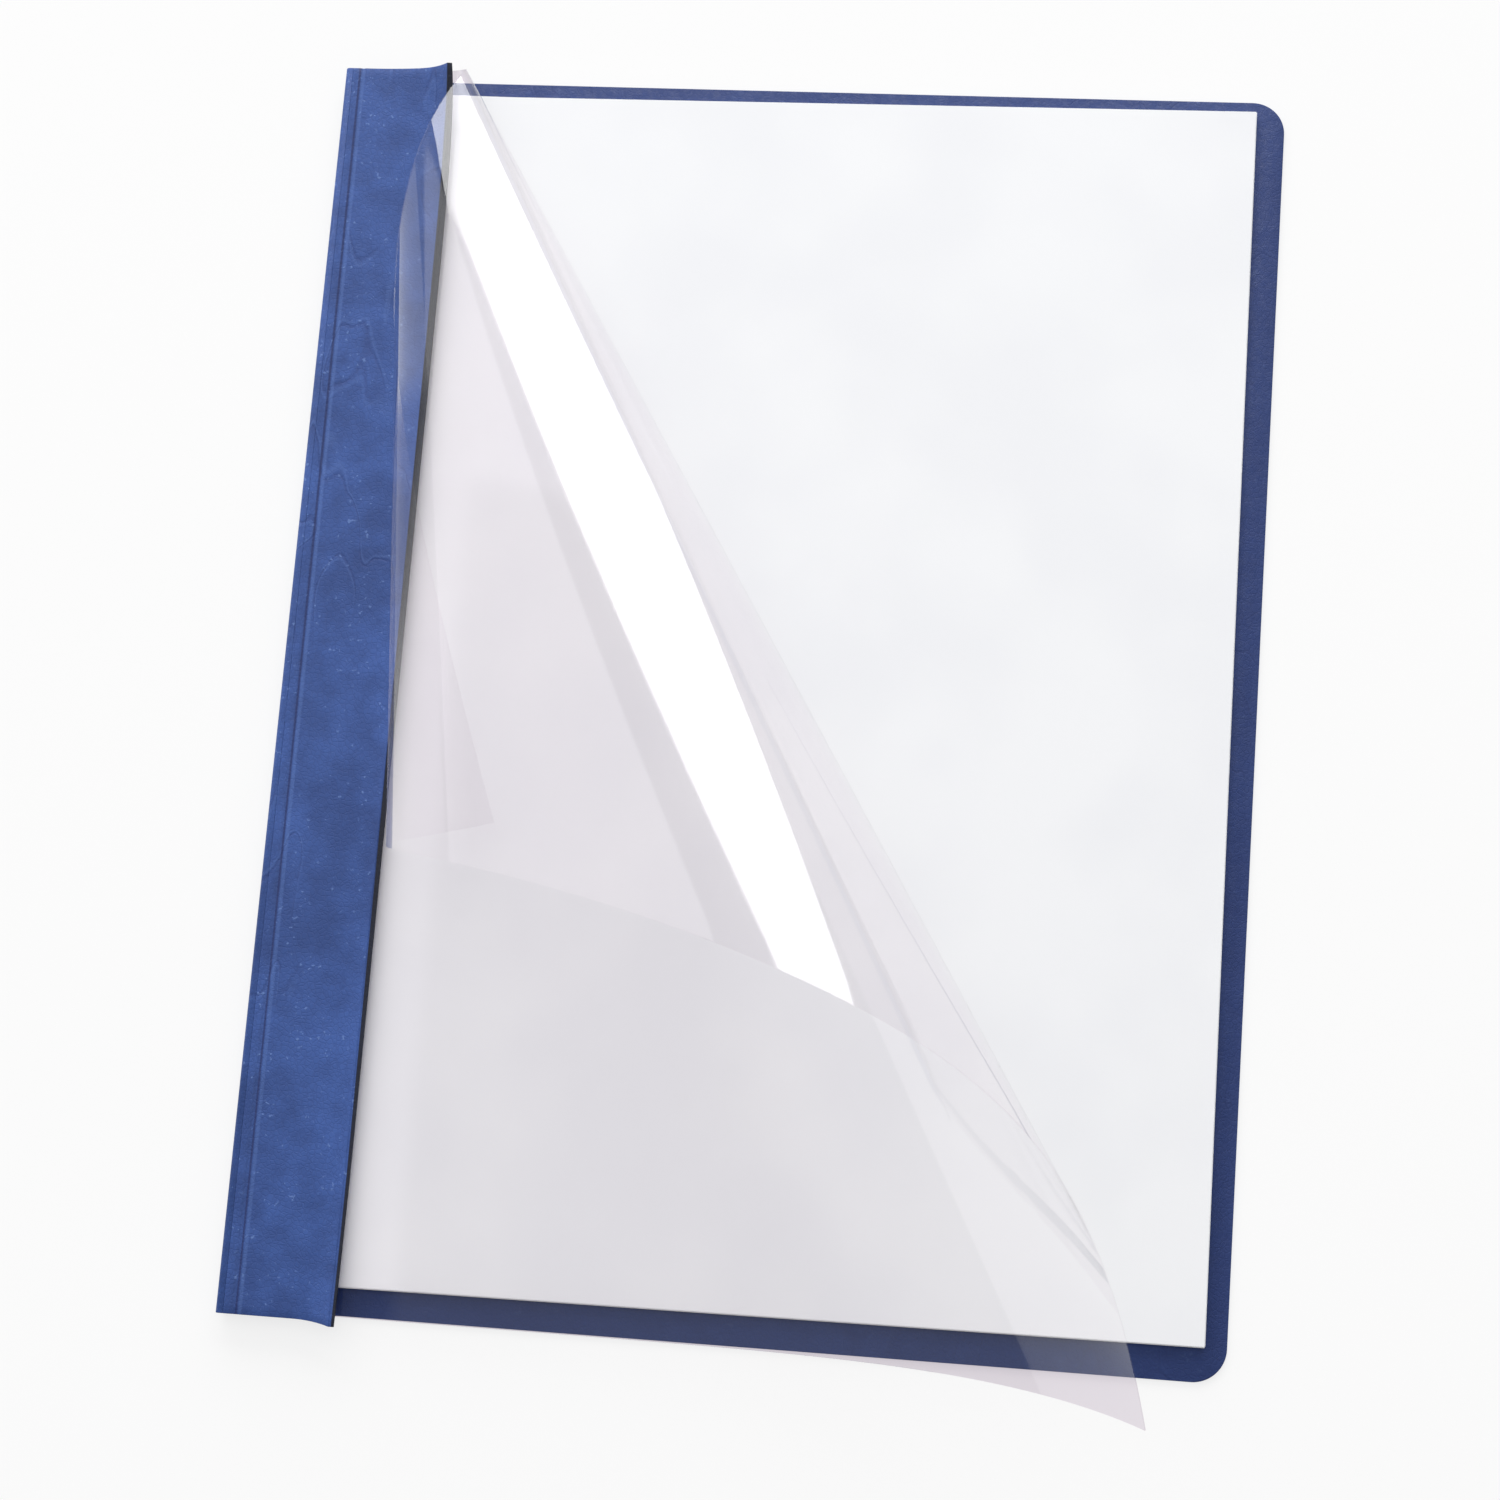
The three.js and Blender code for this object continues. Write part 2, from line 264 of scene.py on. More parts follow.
grain = {
    # how fine each pattern is, in waves a metre
    "pebbles": 900,
    "wobble": 420,
    "coarse": 160,
    "fine": 2600,
    "wrinkles": 95,
    "wrinkledPlaces": 17,
    "specks": 850,
    "blotches": 30,
    "sheen": 700,
    "wobbleReach": 1.1 * mm,
    "wrinkleLean": -38,  # degrees
    "bump": 0.5,
    "bumpDepth": 0.14 * mm,
    "gloss": (0.58, 0.42),  # roughness, from the dull places to the shiny ones
    "dark": shade(43, 70, 130),
    "light": shade(60, 92, 162),
    # painted shade: the darker colour of the creases between the pebbles
    "crease": shade(36, 58, 116),
    # painted shade in the wrinkles, and a painted highlight beside them
    "wrinkle": shade(32, 50, 108),
    "wrinkleHighlight": shade(92, 122, 186),
    # painted highlight: the light colour of the specks, as glints on the grain
    "speck": shade(112, 142, 202),
    "inside": shade(36, 53, 104),
    # painted shadow: the near-black colour along the strip's right edge
    "shadowLip": shade(8, 10, 20),
    "scoreSide": shade(98, 130, 196),
    "score": shade(24, 38, 92),
    # the width of that painted shadow band
    "shadowLipWidth": 3 * mm,
    "scoreSideOffset": 0.9 * mm,
}


def grainedCardLook():
    graph = Graph("grained_card")
    place = graph.place()
    across, _, level = graph.axes(place)
    warp = graph.add("ShaderNodeTexNoise", None, out=1, Vector=place, Scale=grain["wobble"], Detail=2)
    bent = graph.add("ShaderNodeVectorMath", {"operation": "MULTIPLY_ADD"}, warp,
                     [grain["wobbleReach"]] * 3, place)
    # pebbles of the leather grain, with the creases between them
    pebbles = graph.add("ShaderNodeTexVoronoi", {"feature": "DISTANCE_TO_EDGE"}, Vector=bent,
                        Scale=grain["pebbles"])
    crease = graph.ramp(pebbles, 0.0, 0.16)
    coarse = graph.noise(place, grain["coarse"], 3, 0.6)
    fine = graph.noise(place, grain["fine"], 2, 0.6)
    # long wrinkles of the leather, in some places only
    lean = graph.add("ShaderNodeMapping", None, place, Scale=(1, 0.45, 1),
                     Rotation=(0, 0, math.radians(grain["wrinkleLean"])))
    wander = graph.noise(lean, grain["wrinkles"], 1, 0.4, 0.5)
    wrinkled = graph.ramp(graph.noise(place, grain["wrinkledPlaces"], 1, 0.5), 0.44, 0.56)
    wrinkle = (1 - graph.ramp((wander - 0.5).size(), 0.0, 0.018)) * wrinkled
    # a thin line beside each wrinkle, painted lighter as a painted highlight
    wrinkleHighlight = (1 - graph.ramp((wander - 0.525).size(), 0.0, 0.016)) * wrinkled
    # small specks where the grain stands highest, raised a little and painted lighter as painted glints
    speck = graph.ramp(graph.noise(place, grain["specks"], 2, 0.5), 0.64, 0.7) * graph.ramp(
        coarse, 0.47, 0.58)
    height = crease * 0.4 + coarse * 1.1 + fine * 0.25 - wrinkle * 0.6 + speck * 0.4
    blotch = graph.noise(place, grain["blotches"], 3, 0.55)
    tone = graph.ramp(blotch * 0.6 + coarse * 0.4, 0.34, 0.66)
    colour = graph.mixColours(tone, grain["dark"], grain["light"])
    # painted shade: the creases between the pebbles are painted darker
    colour = graph.mixColours((1 - crease) * 0.22, colour, grain["crease"])
    # painted shade along each wrinkle, with a painted highlight along its one side
    colour = graph.mixColours(wrinkle * 0.3, colour, grain["wrinkle"])
    colour = graph.mixColours(wrinkleHighlight * 0.2, colour, grain["wrinkleHighlight"])
    colour = graph.mixColours(speck * 0.5, colour, grain["speck"])
    # the inner side of the panel is plainer and darker
    inside = graph.ramp(level, 0.3 * mm, 0.5 * mm) * graph.ramp(level, 1 * mm, 1.6 * mm, 1, 0)
    colour = graph.mixColours(inside * 0.85, colour, grain["inside"])
    # painted shadow: a near-black band along the strip's right edge and over the lip of card beyond it,
    # standing in for the shaded gap under the lifted edge
    onFront = graph.ramp(level, 2 * mm, 3 * mm)
    shadowLipEnd = stripRight + grain["shadowLipWidth"]
    shadowLip = graph.ramp(across, stripRight - 0.1 * mm, stripRight + 0.1 * mm) * graph.ramp(
        across, shadowLipEnd, shadowLipEnd + 0.2 * mm, 1, 0) * onFront
    colour = graph.mixColours(shadowLip * 0.95, colour, grain["shadowLip"])
    # the score along which the front turns, with a dark line along it and a lighter band beside it
    scored = graph.ramp((across - scoreX).size(), 0.1 * mm, 0.4 * mm, 1, 0) * onFront
    scoreSide = graph.ramp((across - scoreX - grain["scoreSideOffset"]).size(), 0.2 * mm, 0.6 * mm, 1, 0) * onFront
    colour = graph.mixColours(scoreSide * 0.22, colour, grain["scoreSide"])
    colour = graph.mixColours(scored * 0.75, colour, grain["score"])
    gloss = graph.ramp(graph.noise(place, grain["sheen"], 2, 0.6), 0.35, 0.7, *grain["gloss"])
    normal = graph.add("ShaderNodeBump", None, Strength=grain["bump"], Distance=grain["bumpDepth"],
                       Height=height)
    card = graph.add("ShaderNodeBsdfPrincipled", None, Base_Color=colour, Normal=normal,
                     Roughness=gloss + inside * 0.12, Specular_IOR_Level=0.4)
    return graph.surface(card)


filmFinish = {
    "tint": (0.985, 0.972, 0.982, 1),
    "mirror": 0.07,  # the share of light that it mirrors face on
    "roughness": 0.05,
    "rubbed": 0.7,  # the share of that mirror that is lost where it is rubbed
    "rubbedAcross": (10 * mm, 16 * mm),  # from the strip's right edge, fading out
    "rubbedUpwards": (52 * mm, 66 * mm),
}


def clearFilmLook():
    graph = Graph("clear_film")
    facing = graph.add("ShaderNodeLayerWeight", None, Blend=0.5, out=1)
    across, upwards, _ = graph.axes(graph.place())
    # duller where the curled tip has rubbed over the strip
    fadeStart, fadeEnd = filmFinish["rubbedAcross"]
    rubbed = graph.ramp(across, stripRight + fadeStart, stripRight + fadeEnd, 1, 0) * graph.ramp(
        upwards, *filmFinish["rubbedUpwards"], 1, 0)
    mirror = filmFinish["mirror"] + (1 - filmFinish["mirror"]) * facing ** 5
    through = graph.add("ShaderNodeBsdfTransparent", None, Color=filmFinish["tint"])
    glossy = graph.add("ShaderNodeBsdfPrincipled", None, Base_Color=(1, 1, 1, 1), Metallic=1.0,
                       Roughness=filmFinish["roughness"])
    return graph.surface(graph.add("ShaderNodeMixShader", None,
                                   mirror * (1 - rubbed * filmFinish["rubbed"]), through, glossy))


paperFinish = {
    "fibre": 1500,  # waves a metre
    "cloud": 22,
    "dark": shade(243, 244, 247),
    "light": shade(247, 248, 250),
    "bump": 0.12,
    "bumpDepth": 0.04 * mm,
    "roughness": 0.82,
}


def paperLook():
    graph = Graph("paper")
    place = graph.place()
    fibre = graph.noise(place, paperFinish["fibre"], 3, 0.65)
    cloud = graph.ramp(graph.noise(place, paperFinish["cloud"], 2, 0.5), 0.35, 0.65)
    colour = graph.mixColours(cloud, paperFinish["dark"], paperFinish["light"])
    normal = graph.add("ShaderNodeBump", None, Strength=paperFinish["bump"],
                       Distance=paperFinish["bumpDepth"], Height=fibre)
    sheet = graph.add("ShaderNodeBsdfPrincipled", None, Base_Color=colour, Normal=normal,
                      Roughness=paperFinish["roughness"], Specular_IOR_Level=0.3)
    return graph.surface(sheet)


bindingFinish = {
    "fibre": 900,  # waves a metre
    "cloud": 60,
    "dark": shade(44, 60, 108),
    "light": shade(54, 71, 122),
    "bump": 0.25,
    "bumpDepth": 0.08 * mm,
    "roughness": 0.75,
}


def bindingCardLook():
    graph = Graph("binding_card")
    place = graph.place()
    fibre = graph.noise(place, bindingFinish["fibre"], 4, 0.65)
    cloud = graph.noise(place, bindingFinish["cloud"], 2, 0.5)
    tone = graph.ramp(cloud * 0.5 + fibre * 0.5, 0.35, 0.65)
    colour = graph.mixColours(tone, bindingFinish["dark"], bindingFinish["light"])
    normal = graph.add("ShaderNodeBump", None, Strength=bindingFinish["bump"],
                       Distance=bindingFinish["bumpDepth"], Height=fibre)
    sheet = graph.add("ShaderNodeBsdfPrincipled", None, Base_Color=colour, Normal=normal,
                      Roughness=bindingFinish["roughness"], Specular_IOR_Level=0.35)
    return graph.surface(sheet)


tinFinish = {
    "brushed": (9000, 220, 3000),  # waves a metre along each axis
    "spangle": 500,
    "dark": (0.62, 0.63, 0.64, 1),
    "light": (0.74, 0.74, 0.73, 1),
    "gloss": (0.24, 0.4),  # roughness, from the shiny places to the dull ones
    "bump": 0.15,
    "bumpDepth": 0.03 * mm,
}


def tinnedSteelLook():
    graph = Graph("tinned_steel")
    place = graph.place()
    brushed = graph.add("ShaderNodeMapping", None, place, Scale=tinFinish["brushed"])
    scratch = graph.noise(brushed, 1, 3, 0.6)
    spangle = graph.ramp(graph.noise(place, tinFinish["spangle"], 2, 0.5), 0.3, 0.7)
    colour = graph.mixColours(spangle, tinFinish["dark"], tinFinish["light"])
    gloss = graph.ramp(scratch, 0.3, 0.7, *tinFinish["gloss"])
    normal = graph.add("ShaderNodeBump", None, Strength=tinFinish["bump"],
                       Distance=tinFinish["bumpDepth"], Height=scratch)
    metal = graph.add("ShaderNodeBsdfPrincipled", None, Base_Color=colour, Roughness=gloss,
                      Metallic=1.0, Normal=normal)
    return graph.surface(metal)


grainedCard = grainedCardLook()
clearFilm = clearFilmLook()
paper = paperLook()
bindingCard = bindingCardLook()
tinnedSteel = tinnedSteelLook()
print("materials ready")

# camera, floor and lights
view = {
    "location": (0.09353, -0.10334, 0.62383),
    "turnDegrees": (9.2687, 6.1126, 3.9607),
    "lens": 67.2,
    "shift": (-0.0645, -0.0156),
}
cameraData = bpy.data.cameras.new("camera")
cameraData.lens = view["lens"]
cameraData.sensor_width = 36
cameraData.shift_x, cameraData.shift_y = view["shift"]
camera = bpy.data.objects.new("camera", cameraData)
camera.location = view["location"]
camera.rotation_euler = [math.radians(turn) for turn in view["turnDegrees"]]
bpy.context.scene.collection.objects.link(camera)
bpy.context.scene.camera = camera
bpy.context.scene.view_settings.view_transform = "Standard"

studio = {
    "floorSize": 12,
    "floorDrop": 0.2 * mm,  # the table lies this much below the cover
    "floorColour": (0.9, 0.9, 0.9, 1),
    "floorGlow": 0.75,  # the share of the table that is plain white to the eye, the rest takes shadow
    "ambient": 0.34,
    "distance": 4,
    "throughFilm": (0.74, 0.69, 0.75, 1),  # the table as it shows through the clear sheet
    # one edge from a direction to another (azimuth from +Y towards +X, elevation), how far the lamp
    # goes up or down from that edge, and its brightness
    "windows": {
        "back_window": ((-42, 23), (30.5, 35.5), -3.1, 5.6),
        "left_glow": ((-73.5, -9.5), (-5, 43), 2.6, 1.1),
        "back_high": ((5, 50), (60, 50), 3, 1.5),
    },
}


def towards(azimuth, elevation):
    azimuth, elevation = math.radians(azimuth), math.radians(elevation)
    return Vector((math.cos(elevation) * math.sin(azimuth), math.cos(elevation) * math.cos(azimuth),
                   math.sin(elevation)))


def addWindow(name, start, end, reach, brightness):
    first, last = towards(*start) * studio["distance"], towards(*end) * studio["distance"]
    along = last - first
    upwards = (first + last).cross(along).normalized()
    if upwards.z < 0:
        upwards.negate()
    outwards = along.cross(upwards).normalized()
    middle = (first + last) / 2
    if outwards.dot(middle) < 0:
        outwards.negate()
    lampData = bpy.data.lights.new(name, "AREA")
    lampData.shape = "RECTANGLE"
    lampData.size, lampData.size_y = along.length, abs(reach)
    lampData.energy = brightness * math.pi * along.length * abs(reach)
    lamp = bpy.data.objects.new(name, lampData)
    # a lamp shines along its own -Z
    side = along.normalized()
    lamp.matrix_world = Matrix.Translation(middle + upwards * (reach / 2)) @ Matrix(
        (side, outwards.cross(side), outwards)).transposed().to_4x4()
    bpy.context.scene.collection.objects.link(lamp)


for windowName, settings in studio["windows"].items():
    addWindow(windowName, *settings)

world = bpy.data.worlds.new("studio")
bpy.context.scene.world = world
world.use_nodes = True
world.node_tree.nodes["Background"].inputs["Color"].default_value = (1, 1, 1, 1)
world.node_tree.nodes["Background"].inputs["Strength"].default_value = studio["ambient"]

deselectAll()
bpy.ops.mesh.primitive_plane_add(size=studio["floorSize"], location=(0, 0, -studio["floorDrop"]))
floor = nameIt("floor")
floorGraph = Graph("floor_white")
rays = floorGraph.look.node_tree.nodes.new("ShaderNodeLightPath")
seen = Wire(floorGraph, rays.outputs["Is Camera Ray"])
for rayKind in ("Is Glossy Ray", "Is Transmission Ray"):
    seen = seen + Wire(floorGraph, rays.outputs[rayKind])
behindFilm = Wire(floorGraph, rays.outputs["Transparent Depth"]).upTo(1)
glowColour = floorGraph.mixColours(behindFilm, (1, 1, 1, 1), studio["throughFilm"])
floorDiffuse = floorGraph.add("ShaderNodeBsdfDiffuse", None, Color=studio["floorColour"])
floorGlow = floorGraph.add("ShaderNodeEmission", None, glowColour, 1.0)
floor.data.materials.append(floorGraph.surface(floorGraph.add(
    "ShaderNodeMixShader", None, seen * studio["floorGlow"], floorDiffuse, floorGlow)))
print("studio ready")


# back of the cover
def foldPlace(point, share):
    # the fold is a little askew to the panel, as folded by hand
    up = min(max(point.y / cover["height"] + 0.5, 0), 1)
    over = cover["foldOver"][0] * up ** 3 - cover["foldOver"][1] * (1 - up) ** 3
    turn = cover["foldTurn"][0] * up + cover["foldTurn"][1] * (1 - up)
    return Vector((point.x + turn * share, point.y + (cover["foldShift"] + over) * share, point.z))


def makeCoverBack():
    halfWidth = cover["width"] / 2
    deselectAll()
    bpy.ops.mesh.primitive_plane_add(size=1)
    piece = nameIt("cover_back")
    piece.scale = (cover["width"], cover["height"], 1)
    bpy.ops.object.transform_apply(location=False, rotation=False, scale=True)
    bpy.ops.object.mode_set(mode="EDIT")
    bpy.ops.mesh.flip_normals()  # the underside is the outer face
    pickVerts(piece, lambda point: point.x < spineX + tiny)
    bpy.ops.mesh.extrude_region_move(TRANSFORM_OT_translate={"value": (0, 0, cover["spineHeight"])})
    bpy.ops.mesh.extrude_region_move(
        TRANSFORM_OT_translate={"value": (cover["joinDistance"], 0, 0)})
    pickEdges(piece, lambda edge: all(abs(vert.co.x - spineX) < tiny for vert in edge.verts)
              and abs(edge.verts[0].co.z - edge.verts[1].co.z) < tiny)
    bpy.ops.mesh.bevel(offset=cover["foldRadius"], segments=8, affect="EDGES")
    pickVerts(piece, lambda point: point.x > halfWidth - tiny)
    bpy.ops.mesh.bevel(offset=cover["cornerRadius"], segments=16, affect="VERTICES")
    bpy.ops.mesh.select_all(action="SELECT")
    bpy.ops.mesh.bisect(plane_co=(stripRight, 0, 0), plane_no=(1, 0, 0))
    bpy.ops.mesh.select_all(action="SELECT")
    bpy.ops.mesh.remove_doubles(threshold=tiny)
    bpy.ops.mesh.normals_make_consistent(inside=False)
    bpy.ops.object.mode_set(mode="OBJECT")
    for vert in piece.data.vertices:
        share = max(0, (stripRight - vert.co.x) / (stripRight - spineX))
        vert.co = foldPlace(vert.co, min(share * cover["foldFade"], 1))
    return piece


coverBack = makeCoverBack()
# the open sheet's outer side must be the one that faces down and left
lowest = min(coverBack.data.polygons, key=lambda face: face.center.z)
if lowest.normal.z > 0:
    bpy.ops.object.mode_set(mode="EDIT")
    bpy.ops.mesh.select_all(action="SELECT")
    bpy.ops.mesh.flip_normals()
    bpy.ops.object.mode_set(mode="OBJECT")
applyModifier(coverBack, "SOLIDIFY", thickness=cover["card"], offset=-1, use_even_offset=True)


def roundRims(piece):
    # the cut edges of the card, a little rounded by the shears, but not where its two pieces meet
    bpy.context.view_layer.objects.active = piece
    bpy.ops.object.mode_set(mode="EDIT")
    pickEdges(piece, lambda edge: len(edge.link_faces) == 2
              and edge.calc_face_angle(0) > math.radians(60)
              and not all(abs(vert.co.x - joinX) < 10 * tiny for vert in edge.verts))
    bpy.ops.mesh.bevel(offset=cover["rimRound"], segments=2, affect="EDGES")
    bpy.ops.object.mode_set(mode="OBJECT")


roundRims(coverBack)
smooth(coverBack)
finishPiece(coverBack, "back", grainedCard)
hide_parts("back_cover")
print("back cover ready", len(coverBack.data.polygons))

# the curl
# The sheet is flat up to an angle round its apex. Past it every line through the apex turns out of
# the plane, by a bend that rises to an even one, with a tight roll and a curled tip added.
curl = {
    "apexBeyondTop": 33.55 * mm,
    "apexFromSpine": 10.7 * mm,
    "level": 3.675 * mm,
    "start": 0.147,
    "ease": 0.3,
    "base": 3.52,
    "roll": {"peak": 6.7, "at": 0.691, "spread": 0.08},
    "tip": {"peak": 4.58, "at": 1.443, "spread": 0.237},
    "step": 0.002,
}
apex = Vector((spineX + curl["apexFromSpine"], cover["height"] / 2 + curl["apexBeyondTop"],
               curl["level"]))


def bendAt(angle):
    share = min(max((angle - curl["start"]) / curl["ease"], 0), 1)
    bend = curl["base"] * share * share * (3 - 2 * share)
    for bump in (curl["roll"], curl["tip"]):
        bend += bump["peak"] * math.exp(-(((angle - bump["at"]) / bump["spread"]) ** 2))
    return bend


def carryFrames():
    start = curl["start"]
    along = Vector((math.sin(start), -math.cos(start), 0))
    normal = Vector((0, 0, 1))
    frames = []
    for index in range(int((math.pi - start) / curl["step"])):
        frames.append((along.copy(), normal.copy()))
        bend = bendAt(start + (index + 0.5) * curl["step"])
        axis = (along * bend + normal).normalized()
        turn = Matrix.Rotation(curl["step"] * math.hypot(1, bend), 3, axis)
        along.rotate(turn)
        normal.rotate(turn)
    return frames


curlFrames = carryFrames()


def curledPoint(x, y, offset):
    # where a point of the flat sheet lies once the sheet is curled
    flatX, flatY = x - apex.x, apex.y - y
    angle = math.atan2(flatX, flatY)
    if angle <= curl["start"]:
        return Vector((x, y, apex.z + offset))
    place = (angle - curl["start"]) / curl["step"]
    index = min(int(place), len(curlFrames) - 2)
    along = curlFrames[index][0].lerp(curlFrames[index + 1][0], place - index).normalized()
    normal = curlFrames[index][1].lerp(curlFrames[index + 1][1], place - index).normalized()
    return apex + along * math.hypot(flatX, flatY) + normal * offset


# front of the cover
strip = {
    "columns": 42,
    "rows": 145,
    "grooveDepth": 0.22 * mm,
    "grooveHalfWidth": 0.75 * mm,
    "shadowLip": 1.2 * mm,  # painted shadow: a narrow lip of card beyond the strip's edge, coloured near black for the shaded gap under it
    "shadowLipDepth": 0.15 * mm,
    "shadowLipStep": 0.08 * mm,  # across which the painted shadow lip sinks
    "edgeLift": 1.1 * mm,
    "edgeLiftReach": 9 * mm,
    "cornerLift": 1.2 * mm,
    "cornerReach": 40 * mm,
    "cornerDrop": 1.0 * mm,
    "topLift": 2.6 * mm,
    "topReach": 45 * mm,
    "topWidth": 20 * mm,
    "bendStart": -1.1 * mm,
    "bendEnd": 1.3 * mm,
}


def topLiftAt(x, y):
    # the pull of the curled sheet lifts the strip's top right corner
    near = min(max(1 - (cover["height"] / 2 - y) / strip["topReach"], 0), 1)
    side = min(max(1 - (stripRight - x) / strip["topWidth"], 0), 1)
    beyond = max(0, 1 - max(x - stripRight, 0) / strip["topWidth"])
    return strip["topLift"] * near * near * (side * beyond) ** 2


def makeCoverFront():
    top = cover["height"] / 2
    piece = addSheet("cover_front", joinX, stripRight + strip["shadowLip"], -top, top,
                     strip["columns"], strip["rows"])
    # extra lines where the card is scored, at the strip's right edge, and where the painted shadow lip
    # sinks
    bpy.ops.object.mode_set(mode="EDIT")
    lines = [scoreX + side * strip["grooveHalfWidth"] for side in (-1, -0.5, 0, 0.5, 1)]
    for line in lines + [stripRight, stripRight + strip["shadowLipStep"]]:
        bpy.ops.mesh.select_all(action="SELECT")
        bpy.ops.mesh.bisect(plane_co=(line, 0, 0), plane_no=(1, 0, 0))
    bpy.ops.mesh.select_all(action="SELECT")
    bpy.ops.mesh.remove_doubles(threshold=10 * tiny)
    bpy.ops.object.mode_set(mode="OBJECT")
    above = cover["spineHeight"] - curl["level"]
    for vert in piece.data.vertices:
        x, y = vert.co.x, vert.co.y
        groove = max(0, 1 - abs(x - scoreX) / strip["grooveHalfWidth"])
        share = max(0, 1 - max(stripRight - x, 0) / strip["edgeLiftReach"])
        # the painted shadow lip beyond the strip's edge sinks a little
        sunk = strip["shadowLipDepth"] * min(max((x - stripRight) / strip["shadowLipStep"], 0), 1)
        low = max(0, 1 - (y + top) / strip["cornerReach"])
        lift = (strip["edgeLift"] + strip["cornerLift"] * low * low) * share * share
        place = foldPlace(curledPoint(x, y, above), 1)
        place.y -= strip["cornerDrop"] * share * share * low ** 3
        place.z += lift + topLiftAt(x, y) - sunk
        place.z -= strip["grooveDepth"] * groove * groove * (3 - 2 * groove)
        vert.co = place
    return piece


coverFront = makeCoverFront()
applyModifier(coverFront, "SOLIDIFY", thickness=cover["card"], offset=-1)
roundRims(coverFront)
smooth(coverFront)
finishPiece(coverFront, None, grainedCard)
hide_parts("front_strip")
scoreX + strip["bendStart"]
scoreX + strip["bendEnd"]
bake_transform(coverFront)
print("front of the cover ready", len(coverFront.data.polygons))

# clear sheet
film = {
    "thickness": 0.25 * mm,
    "left": scoreX + cover["scoreGap"] + 1 * mm,  # 1 mm under the strip's left edge
    "angles": 300,
    "lines": 44,
    "weld": 0.005 * mm,
    "foldedShare": 0.05,  # of its height is left once the front lies open
}


def makeFilm():
    top = cover["height"] / 2
    right = cover["width"] / 2
    piece = addSheet("clear_sheet", 0, 1, 0, 1, film["angles"], film["lines"])
    corners = [math.atan2(x - apex.x, apex.y - y)
               for x in (film["left"], right) for y in (-top, top)]
    first, last = min(corners), max(corners)
    corner = math.atan2(right - apex.x, apex.y + top)
    for vert in piece.data.vertices:
        angle = first + (last - first) * vert.co.x
        # keep one line exactly on the sheet's lower right corner
        step = (last - first) / film["angles"]
        if abs(angle - corner) < step / 2:
            angle = corner
        sine, cosine = math.sin(angle), math.cos(angle)
        near = (apex.y - top) / cosine
        far = (apex.y + top) / cosine
        if sine > 0:
            near = max(near, (film["left"] - apex.x) / sine)
            far = min(far, (right - apex.x) / sine)
        elif sine < 0:
            far = min(far, (film["left"] - apex.x) / sine)
        reach = near + (far - near) * vert.co.y
        x, y = apex.x + sine * reach, apex.y - cosine * reach
        vert.co = curledPoint(x, y, -film["thickness"] / 2)
        vert.co.z += topLiftAt(x, y)
    bpy.context.view_layer.objects.active = piece
    bpy.ops.object.mode_set(mode="EDIT")
    bpy.ops.mesh.select_all(action="SELECT")
    bpy.ops.mesh.remove_doubles(threshold=film["weld"])
    bpy.ops.mesh.normals_make_consistent(inside=False)
    bpy.ops.object.mode_set(mode="OBJECT")
    return piece


clearSheet = makeFilm()
flat = [face for face in clearSheet.data.polygons if face.center.x < stripRight - 0.01]
upward = sum(face.normal.z for face in flat) > 0
applyModifier(clearSheet, "SOLIDIFY", thickness=film["thickness"], offset=1 if upward else -1,
              use_rim_only=True)
smooth(clearSheet)
finishPiece(clearSheet, "front", clearFilm)
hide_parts("clear_front")
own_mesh(clearSheet)
print("clear sheet ready", len(clearSheet.data.polygons))

# pages
pages = {
    "width": 215.9 * mm,
    "height": 279.4 * mm,
    "count": 16,
    "columns": 108,
    "rows": 6,
    "pitch": 0.1 * mm,
    "sheet": 0.085 * mm,
    "centre": (-2.0 * mm, 1.7 * mm),
    "skewDegrees": 0.35,
    "highBottom": 1.5 * mm,
    "lowBottom": 0.7 * mm,
    "dropStart": -91.75 * mm,
    "dropLength": 26 * mm,
    "punchRadius": 3.5 * mm,
    "punchInset": 12.7 * mm,
    "punchPitch": 108 * mm,
    "punchSides": 48,
    "punchLength": 10 * mm,
    "punchLevel": 2 * mm,
    "shuffle": 0.22 * mm,
    "seed": 11,
}


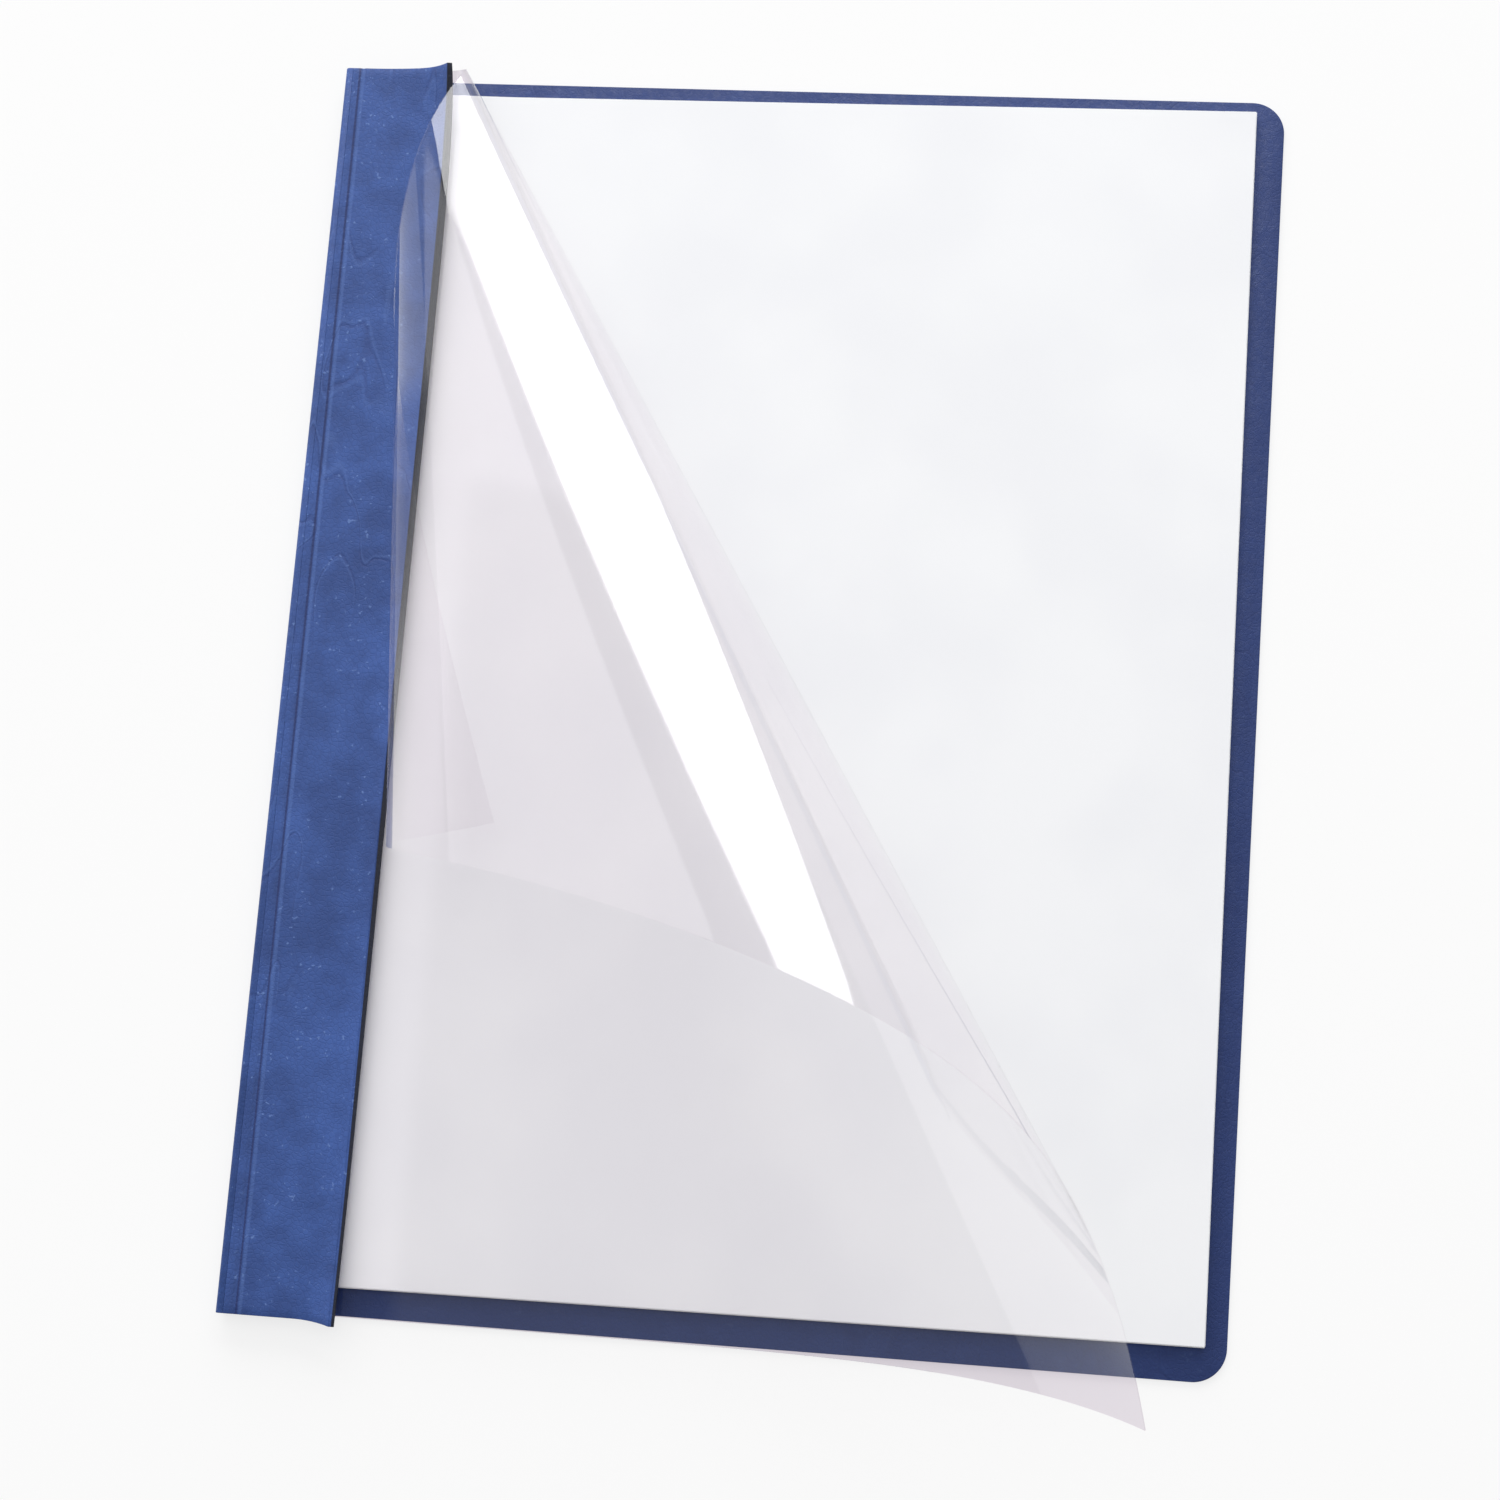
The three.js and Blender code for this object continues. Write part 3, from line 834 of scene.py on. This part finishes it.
def makePages():
    shuffle = random.Random(pages["seed"])
    halfWidth, halfHeight = pages["width"] / 2, pages["height"] / 2
    sheets = []
    for index in range(pages["count"]):
        sheet = addSheet("page", -halfWidth, halfWidth, -halfHeight, halfHeight,
                         pages["columns"], pages["rows"])
        moveX = shuffle.uniform(-1, 1) * pages["shuffle"]
        moveY = shuffle.uniform(-1, 1) * pages["shuffle"]
        for vert in sheet.data.vertices:
            share = (vert.co.x + pages["centre"][0] - pages["dropStart"]) / pages["dropLength"]
            share = min(max(share, 0), 1)
            drop = (pages["highBottom"] - pages["lowBottom"]) * share * share * (3 - 2 * share)
            vert.co.z = pages["highBottom"] - drop + index * pages["pitch"]
            vert.co.x += moveX
            vert.co.y += moveY
        applyModifier(sheet, "SOLIDIFY", thickness=pages["sheet"], offset=1)
        sheets.append(sheet)
    deselectAll()
    for sheet in sheets:
        sheet.select_set(True)
    bpy.context.view_layer.objects.active = sheets[0]
    bpy.ops.object.join()
    stack = nameIt("pages")
    punches = []
    for row in (-1, 0, 1):
        deselectAll()
        bpy.ops.mesh.primitive_cylinder_add(
            vertices=pages["punchSides"], radius=pages["punchRadius"], depth=pages["punchLength"],
            location=(pages["punchInset"] - halfWidth, row * pages["punchPitch"], pages["punchLevel"]))
        punches.append(bpy.context.active_object)
    deselectAll()
    for punch in punches:
        punch.select_set(True)
    bpy.context.view_layer.objects.active = punches[0]
    bpy.ops.object.join()
    applyModifier(stack, "BOOLEAN", operation="DIFFERENCE", object=punches[0], solver="EXACT")
    bpy.data.objects.remove(punches[0])
    deselectAll()
    stack.select_set(True)
    bpy.context.view_layer.objects.active = stack
    stack.rotation_euler.z = math.radians(pages["skewDegrees"])
    stack.location = (*pages["centre"], 0)
    bpy.ops.object.transform_apply(location=True, rotation=True, scale=True)
    return stack


pageStack = makePages()
smooth(pageStack, 30)
finishPiece(pageStack, "back", paper)
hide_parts("page_stack")
print("pages ready", len(pageStack.data.polygons))

# fasteners and their card
for nodeName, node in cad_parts.items():
    if nodeName.startswith("tang_fastener") or nodeName == "fastener_strip":
        node.data.materials.clear()
        node.data.materials.append(bindingCard if nodeName == "fastener_strip" else tinnedSteel)
print("fasteners ready")

deselectAll()
